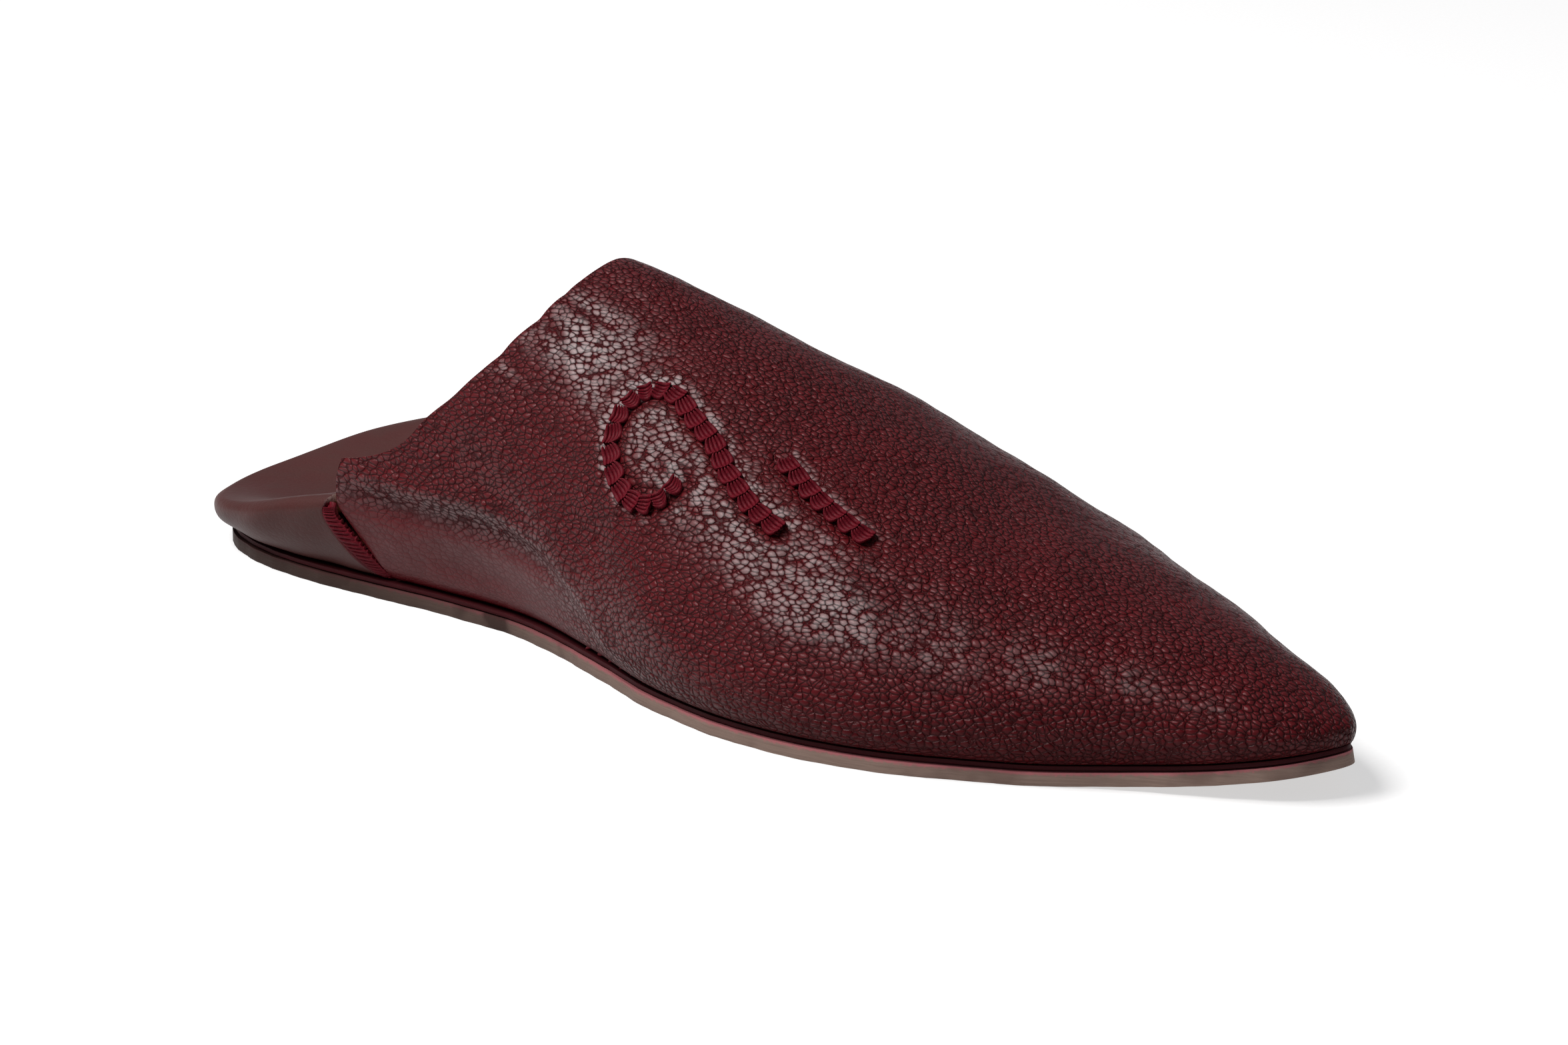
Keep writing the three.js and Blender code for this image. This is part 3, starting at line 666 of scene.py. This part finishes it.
def near(along, up, line):
    """Distance of every point from a line on the leather, and how far along the line it is nearest."""
    best = np.full(along.shape, 1e9)
    at = np.zeros(along.shape)
    for k, (a, s) in enumerate(line):
        d = (along - a) ** 2 + (up - s) ** 2
        closer = d < best
        best = np.where(closer, d, best)
        at = np.where(closer, k / (len(line) - 1), at)
    return np.sqrt(best), at


def outward(points):
    """The outward direction at every point of a sheet."""
    across = np.gradient(points, axis=1)
    ahead = np.gradient(points, axis=0)
    normal = np.cross(across, ahead)
    return normal / np.maximum(np.linalg.norm(normal, axis=-1, keepdims=True), 1e-9)


def round_leather(side, along, way):
    """Distance round the leather from the side fold of one side, up towards the crest and on over it."""
    stations = np.linspace(VAMP_BACK, SOLE_LENGTH - 0.02, 140)
    ways = np.linspace(WAY_END, -WAY_END, 700) * side
    grid = vamp_place(stations[:, None] + 0 * ways, ways + 0 * stations[:, None])
    run = np.cumsum(np.linalg.norm(np.diff(grid, axis=1, prepend=grid[:, :1]), axis=-1), axis=1)
    run -= np.array([np.interp(0, side * (side - ways), row) for row in run])[:, None]
    i = np.clip((along - stations[0]) / (stations[1] - stations[0]), 0, 138.999)
    j = np.clip((WAY_END - way * side) / (2 * WAY_END) * 699, 0, 698.999)
    i0, j0 = i.astype(int), j.astype(int)
    fi, fj = i - i0, j - j0
    near_heel = run[i0, j0] * (1 - fj) + run[i0, j0 + 1] * fj
    near_toe = run[i0 + 1, j0] * (1 - fj) + run[i0 + 1, j0 + 1] * fj
    return near_heel * (1 - fi) + near_toe * fi


def vamp_shape(u, v):
    """The vamp's sheet from collar to toe, pushed out and in by its creases and by the silk."""
    side = np.where(u >= 0.5, 1, -1)
    step = np.abs(1 - 2 * u) * (AROUND // 2)
    way = np.interp(step, np.arange(AROUND // 2 + 1), even_way)
    way = np.where(side > 0, way, np.where(way < 1e-9, 0, -way))
    start = np.repeat(vamp_start(way[:1]), len(way), axis=0)
    reach = 0.6 * v + 0.4 * np.sin(v * math.pi / 2)
    along = start + (SOLE_LENGTH - 0.02 - start) * reach
    points = vamp_place(along, way)
    up_outer, up_inner = round_leather(1, along, way), round_leather(-1, along, way)
    length = np.cumsum(np.linalg.norm(np.diff(points, axis=1, prepend=points[:, :1]), axis=-1), axis=1)
    y = points[..., 1]
    push = np.zeros(y.shape)
    for folds, up in ((OUTER_FOLDS, up_outer), (INNER_FOLDS, up_inner)):
        for knots, width, depth in folds:
            line, _ = smooth_run(knots, 40)
            far, at = near(y, up, line)
            fade = np.clip(np.sin(np.clip(at, 0.04, 0.96) * math.pi) * 1.6, 0, 1)
            push -= depth * fade * np.exp(-((far / width) ** 2))
    for knots in (SCROLL, SHORT_LINE):
        line, _ = smooth_run(knots, 90)
        far, at = near(y, up_outer, line)
        push -= 0.5 * np.exp(-((far / 2.4) ** 2))
        push += 0.22 * np.exp(-(((far - 3.8) / 1.4) ** 2))
        pull = np.sin(at * 170) * 0.5 + np.sin(at * 97 + 1) * 0.5
        push += 0.22 * pull * np.exp(-(((far - 4.3) / 2.2) ** 2))
    puff = np.exp(-(((y - PUFF_ALONG) / PUFF_SIZE) ** 2 + ((up_outer - PUFF_UP) / PUFF_SIZE) ** 2) ** 2)
    push += puff * (0.3 + 0.18 * np.sin(y * 1.9 + up_outer * 0.7) * np.sin(up_outer * 1.3 - y * 0.5))
    collar = np.exp(-((y - start) / 3.5)) * np.clip((points[..., 2] - 30) / 8, 0, 1)
    push += collar * (0.13 * np.sin(length * 0.42 + 1.5 * np.sin(length * 0.09)) - 0.2)
    rest = np.clip((points[..., 2] - toe_lift(y) - 6) / 4, 0, 1) * np.clip((SOLE_LENGTH - 4 - y) / 10, 0, 1)
    soft = 0.16 * np.sin(y * 0.21 + length * 0.09) + 0.12 * np.sin(y * 0.11 - length * 0.23 + 2)
    soft += 0.05 * np.sin(y * 0.74 + 1.3 * np.sin(length * 0.21)) * np.sin(length * 0.55 + y * 0.12)
    push = (push + soft) * rest
    points += outward(points) * push[..., None]
    points[-1, :, 0] = 0
    return points


def leather_finish(name, grain, gloss, pressed_with_painted_sheen):
    """Milled goat leather: rounded cells drawn out along the shoe with fine cracks between them. The
    low side from the seam to the waist is pulled flat on the last, so it is smoother. The last argument
    is 1 for leather that the foot has rubbed flat; there the colour is turned grey-brown as a painted sheen."""
    material, shader, first, where = start_finish(name)
    cells_at = first.scaled(where, (1.0, 1.65, 1.0))
    wander = first.node("TexNoise", {}, {"Vector": cells_at, "Scale": 0.6, "Detail": 2.0}, out=1)
    pull = {0: wander, 1: (0.7, 0.7, 0.7), 2: cells_at}
    bent = first.node("VectorMath", {"operation": "MULTIPLY_ADD"}, pull)
    edge = first.node("TexVoronoi", {"feature": "DISTANCE_TO_EDGE"}, {"Vector": bent, "Scale": 1.0})
    fine = first.noise(first.scaled(where, (0.5, 0.7, 0.5)), 1.0, 3, 0.6)
    broad = first.noise(first.scaled(where, (16, 26, 16)), 1.0, 2)
    worn = first.noise(first.scaled(where, (4, 7, 4)), 1.0, 3)
    along, up = shoe_along(first, where), shoe_up(first, where)
    tight = 1 - (along + worn * 16).between(112, 146)
    tight = tight * (1 - (up + along * 0.02 + worn * 4).between(20.5, 26.5))
    strong = (broad.between(0.3, 0.65) * 0.25 + 0.75) * (1 - tight * 0.8) * grain
    middle = first.node("TexVoronoi", {"feature": "F1"}, {"Vector": bent, "Scale": 1.0})
    gap = edge + (worn - 0.5) * 0.12 + (fine - 0.5) * 0.12
    dome = gap.between(0.0, 0.2) * 0.4 + (1 - middle * middle * 1.3).held() * 1.1
    crack = 1 - gap.between(0.02, 0.12)
    height = (dome - crack * 0.2) * strong + fine * 0.1 + worn * 0.3
    colour = worn.between(0.3, 0.7).dye((0.053, 0.0022, 0.0038, 1), (0.061, 0.0028, 0.0045, 1))
    # Cracks between the cells are darker: dye in the grain, deepened by painted shade in the grooves.
    colour = (crack * strong * 0.95).dye(colour, (0.018, 0.0008, 0.0013, 1))
    colour = (broad.between(0.55, 0.75) * 0.15).dye(colour, (0.075, 0.0052, 0.0072, 1))
    # Low on the forepart side the colour is darkened: painted shade towards the floor.
    low = (1 - (up + worn * 8).between(6, 22)) * along.between(125, 165)
    colour = (low * 0.6).dye(colour, (0.026, 0.0007, 0.0013, 1))
    # Where the leather is pressed flat, the colour turns grey-brown: a painted sheen of light off the flat
    # face.
    colour = ((worn.between(0.3, 0.7) * 0.15 + 0.8) * pressed_with_painted_sheen).dye(colour, (0.036, 0.013, 0.0115, 1))
    roughness = gloss + fine * 0.08 + crack * strong * 0.2 + broad * 0.06 + tight * 0.1
    polish = (up + worn * 6).between(9, 20) * (0.52 - along.between(90, 165) * 0.2)
    shine = dome.between(0.5, 1.4) * strong * polish + tight * 0.16
    shine = shine * (1 - pressed_with_painted_sheen) + pressed_with_painted_sheen * 0.12
    shader.inputs["Specular IOR Level"].default_value = 0.09
    shader.inputs["Specular Tint"].default_value = (1, 0.82, 0.83, 1)
    shader.inputs["Coat Roughness"].default_value = 0.31
    material.node_tree.links.new(shine.held().socket, shader.inputs["Coat Weight"])
    return finish_up(material, shader, colour, roughness, height, 0.46)


def lining_finish():
    material, shader, first, where = start_finish("pale_lining")
    nap = first.noise(where, 1400, 4, 0.65)
    cloud = first.noise(where, 45, 3)
    colour = cloud.between(0.3, 0.7).dye((0.4, 0.23, 0.17, 1), (0.5, 0.32, 0.24, 1))
    colour = (nap * 0.25).dye(colour, (0.25, 0.11, 0.09, 1))
    return finish_up(material, shader, colour, nap * 0.15 + 0.68, nap, 0.08)


def raw_edge_finish():
    """Cut edge, dyed like the face, with pale fibre left bare at the corner where the seam starts."""
    material, shader, first, where = start_finish("cut_edge")
    fibres = first.noise(where, 2600, 3, 0.7)
    along, up = shoe_along(first, where), shoe_up(first, where)
    bare = (1 - along.between(57.5, 62)) * up.between(17, 21) * fibres.between(0.3, 0.6)
    colour = fibres.dye((0.07, 0.008, 0.012, 1), (0.15, 0.025, 0.03, 1))
    colour = bare.dye(colour, (0.5, 0.4, 0.36, 1))
    return finish_up(material, shader, colour, fibres * 0.2 + 0.6, fibres, 0.08)


goat_leather = leather_finish("burgundy_goat_leather", 1.0, 0.28, 0.0)
lining = lining_finish()
cut_edge = raw_edge_finish()
vamp = cut_sheet("vamp_leather", AROUND, LONG, vamp_shape)
give_thickness(vamp, LEATHER, 0.3, [goat_leather, lining, cut_edge])
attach(vamp, "root")
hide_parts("vamp")

# ---------- heel quarter ----------
# The back of the upper, joined at both sides. It is trodden flat: a low wall stands round the heel,
# folds over, and the rest lies on the seat, pressed smooth by the foot.

HEEL_FOLD = np.array([  # turn round the heel, fold height, reach past the sole, fold radius, bulge
    (0, 19.6, 4.2, 3.2, 1.3), (0.14, 15.2, 4.2, 2.7, 1.25), (0.28, 9.4, 4, 2.4, 1.1),
    (0.42, 6.4, 3.7, 2.4, 0.9), (0.52, 7.2, 3.4, 2.4, 0.9), (0.64, 12.6, 3.2, 2.5, 1),
    (0.76, 17.4, 3.4, 2.6, 1.1), (0.88, 20.4, 3.8, 2.8, 1.25), (1, 21, 4.2, 3.2, 1.3),
])
FLAP_EDGE = np.array([  # turn, across, along, height of the free edge
    (0, 27.5, 48.6, 23.6), (0.2, 21, 52.5, 14), (0.36, 11, 56, 9.4), (0.5, 0, 57.5, 8.8),
    (0.64, -11, 56, 9.4), (0.8, -21, 52.5, 14), (1, -27.5, 48.6, 23.6),
])
QUARTER_THICK = 1.4
QUARTER_REACH = 66.0
TUCK_END = 7.0
WALL_FOOT = 2.4


def heel_run(side, along):
    """Distance round the cutting line, from the back of the heel, of a place on one side."""
    part = slice(0, toe_knot + 1) if side > 0 else slice(toe_knot, None)
    line, runs = cut_line[part], cut_run[part]
    if side < 0:
        line, runs = line[::-1], runs[::-1] - cut_run[-1]
    return np.interp(along, line[:, 1], runs)


outer_run, inner_run = heel_run(1, QUARTER_REACH), heel_run(-1, QUARTER_REACH)


def heel_place(turn, step):
    """The quarter's outer face. Step runs 0 to 1 under the heel, to 2 up the wall, to 3 round the
    fold and to 4 across the flap."""
    closed = cut_run[-1]
    run = (outer_run + (inner_run - outer_run) * turn) % closed
    x, y = np.interp(run, cut_run, cut_line[:, 0]), np.interp(run, cut_run, cut_line[:, 1])
    after, before = (run + 0.8) % closed, (run - 0.8) % closed
    ahead = [
        np.interp(after, cut_run, cut_line[:, k]) - np.interp(before, cut_run, cut_line[:, k])
        for k in (0, 1)
    ]
    size = np.hypot(*ahead)
    out_x, out_y = ahead[1] / size, -ahead[0] / size
    radius = read(HEEL_FOLD, 3, turn)
    ridge = np.maximum(read(HEEL_FOLD, 1, turn), UPPER_BOTTOM + radius * 0.7)
    reach, bulge = read(HEEL_FOLD, 2, turn), read(HEEL_FOLD, 4, turn)
    a = np.clip(step - 1, 0, 1) * math.pi / 2
    wall_out = -WALL_FOOT + (reach + WALL_FOOT) * np.sin(a) ** bulge
    wall_up = UPPER_BOTTOM + (ridge - UPPER_BOTTOM) * (1 - np.cos(a) ** bulge)
    sweep = math.pi / 2 * (0.94 + 0.2 * (2 * turn - 1) ** 2)
    b = np.clip(step - 2, 0, 1) * sweep
    fold_out, fold_up = reach - radius + radius * np.cos(b), ridge + radius * np.sin(b)
    under = -TUCK_END + (TUCK_END - WALL_FOOT) * np.clip(step, 0, 1)
    out = np.where(step < 1, under, np.where(step <= 2, wall_out, fold_out))
    up = np.where(step < 1, UPPER_BOTTOM, np.where(step <= 2, wall_up, fold_up))
    point = np.stack([x + out_x * out, y + out_y * out, up], axis=-1)
    start = np.stack([x + out_x * fold_out, y + out_y * fold_out, fold_up], axis=-1)
    leave = np.stack([-out_x * np.sin(sweep), -out_y * np.sin(sweep), np.cos(sweep)], axis=-1)
    end = np.stack([read(FLAP_EDGE, k, turn) for k in (1, 2, 3)], axis=-1)
    gap = np.linalg.norm(end - start, axis=-1, keepdims=True)
    first = start + leave * np.minimum(gap * 0.35, 12)
    second = end + np.concatenate([0 * gap, 0 * gap, np.minimum(gap * 0.12, 2)], axis=-1)
    t = np.clip(step - 3, 0, 1)[..., None]
    flap = (1 - t) ** 3 * start + 3 * (1 - t) ** 2 * t * first + 3 * (1 - t) * t**2 * second + t**3 * end
    return np.where((step > 3)[..., None], flap, point)


def seam_turn(side, height, shift):
    """How far round the heel the seam of one side is at a height, moved along the shoe by a shift."""
    along = read(SEAM, 1, height) + shift
    return (heel_run(side, along) - outer_run) / (inner_run - outer_run)


def quarter_shape(u, v):
    """The quarter's sheet from the tucked edge to the flap's free edge, slightly wavy."""
    step = np.interp(v, [0, 0.06, 0.34, 0.5, 1], [0, 1, 2, 3, 4])
    ends = []
    for side, turn in ((1, 0.0), (-1, 1.0)):
        height = np.minimum(heel_place(np.full(step.shape, turn), step)[..., 2], 26)
        ends.append(seam_turn(side, height, -read(SEAM, 2, height) - 0.3))
    turn = ends[0] + (ends[1] - ends[0]) * (1 - u)
    points = heel_place(turn, step)
    wall = np.clip(1 - np.abs(step - 1.8), 0, 1)
    flap = np.clip((step - 3) * 3, 0, 1) * np.clip((4 - step) * 4, 0, 1)
    inside = np.clip(turn * 14, 0, 1) * np.clip((1 - turn) * 14, 0, 1)
    push = wall * inside * (0.3 * np.sin(turn * 31 + 1) + 0.16 * np.sin(turn * 67 + step * 3))
    push += flap * inside * (0.22 * np.sin(turn * 13 + step * 4) + 0.12 * np.sin(turn * 37 - step * 6))
    points += outward(points) * push[..., None]
    return points


# The flap's grey-brown colour is a painted sheen of light off its flat face.
pressed_leather_with_painted_sheen = leather_finish("burgundy_pressed_leather_painted_sheen", 0.3, 0.36, 1.0)
quarter = cut_sheet("heel_quarter_leather", 190, 120, quarter_shape)
give_thickness(quarter, QUARTER_THICK, 0.28, [pressed_leather_with_painted_sheen, lining, cut_edge])
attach(quarter, "root")
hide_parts("heel_quarter")

# ---------- side seam bands ----------
# Vamp and quarter meet edge to edge at each side and are laced together with red silk, wound in
# close near-level turns from the sole up to the collar corner, a little sunk between the edges.

BAND_TURNS = 25
BAND_THICK = 1.1


def band_shape(side):
    """The silk lacing of one side, ribbed by its turns and a little sunk between the cut edges."""
    def shape(u, v):
        step = 1 + v * 1.16
        turn = np.full(step.shape, 0.0 if side > 0 else 1.0)
        height = heel_place(turn, step)[..., 2]
        half = read(SEAM, 2, height)
        shift = (half + 0.15) * (2 * u - 1) * side
        points = heel_place(seam_turn(side, height, shift), step)
        across = np.abs(2 * u - 1)
        wound = v * BAND_TURNS + 0.35 * (u - 0.5) + 0.12 * np.sin(v * 40)
        rib = np.abs(np.sin(wound * math.pi)) ** 0.55
        points += outward(points) * ((0.5 * rib - 0.35) * (1 - across**4) - 0.25 * across**4)[..., None]
        return points
    return shape


silk = thread_finish("crimson_silk", (0.045, 0.0012, 0.004, 1), (0.1, 0.004, 0.0095, 1), 0.3)
for side, name in ((1, "lateral"), (-1, "medial")):
    band = cut_sheet("seam_band_silk_" + name, 10, BAND_TURNS * 8, band_shape(side))
    give_thickness(band, BAND_THICK, 0.1, [silk, silk, silk])
    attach(band, "root")
    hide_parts("side_seam_band_" + name)

# ---------- embroidery ----------
# A scroll and a short line in crimson silk on the outer side only. Each block is five threads laid
# side by side along the line and drawn tight at both ends through the leather.

BLOCK_LENGTH = 3.75
BLOCK_WIDTH = 4.1
THREADS = 5


def on_vamp(along, up):
    """A place on the outer side of the vamp and its outward direction."""
    ways = np.linspace(1.6, 0, 900)
    section = vamp_place(np.full(900, along), ways)
    length = np.r_[0, np.cumsum(np.linalg.norm(np.diff(section, axis=0), axis=1))]
    length -= np.interp(1.0, ways[::-1], length[::-1])
    way = np.interp(up, length, ways)
    here, ahead, higher = vamp_place(np.array([along, along + 0.4, along]), np.array([way, way, way - 0.004]))
    normal = np.cross(ahead - here, here - higher)
    return here, normal / np.linalg.norm(normal)


thread_shape, thread_faces = thread_spindle(8, 10)
threads = []
shake = np.random.default_rng(11)
for knots in (SCROLL, SHORT_LINE):
    _, length = smooth_run(knots, 10)
    blocks = round(length / BLOCK_LENGTH)
    line, _ = smooth_run(knots, blocks * 2 + 1)
    for block in range(blocks):
        start, _ = on_vamp(*line[block * 2])
        centre, normal = on_vamp(*line[block * 2 + 1])
        end, _ = on_vamp(*line[block * 2 + 2])
        forward = (end - start) / np.linalg.norm(end - start)
        sideways = np.cross(normal, forward)
        sideways /= np.linalg.norm(sideways)
        skew = shake.uniform(-0.12, 0.12)
        for k in range(THREADS):
            place = (k - (THREADS - 1) / 2) / THREADS
            long = np.linalg.norm(end - start) * shake.uniform(0.94, 1.0)
            local = thread_shape * (long, BLOCK_WIDTH / THREADS * 1.12, 0.95)
            bow = 1 - (2 * local[:, 0] / long) ** 2
            pinch = 0.62 + 0.38 * np.clip(bow, 0, 1) ** 0.7
            aside = local[:, 1] + place * BLOCK_WIDTH * pinch + local[:, 0] * skew
            high = local[:, 2] + 1.2 * bow - 0.85 - 1.6 * place**2 + shake.uniform(-0.04, 0.04)
            laid = centre + forward * local[:, :1] + sideways * aside[:, None]
            threads.append(laid + normal * high[:, None])
scroll = join_threads("embroidery_silk", threads, thread_faces, silk)
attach(scroll, "root")
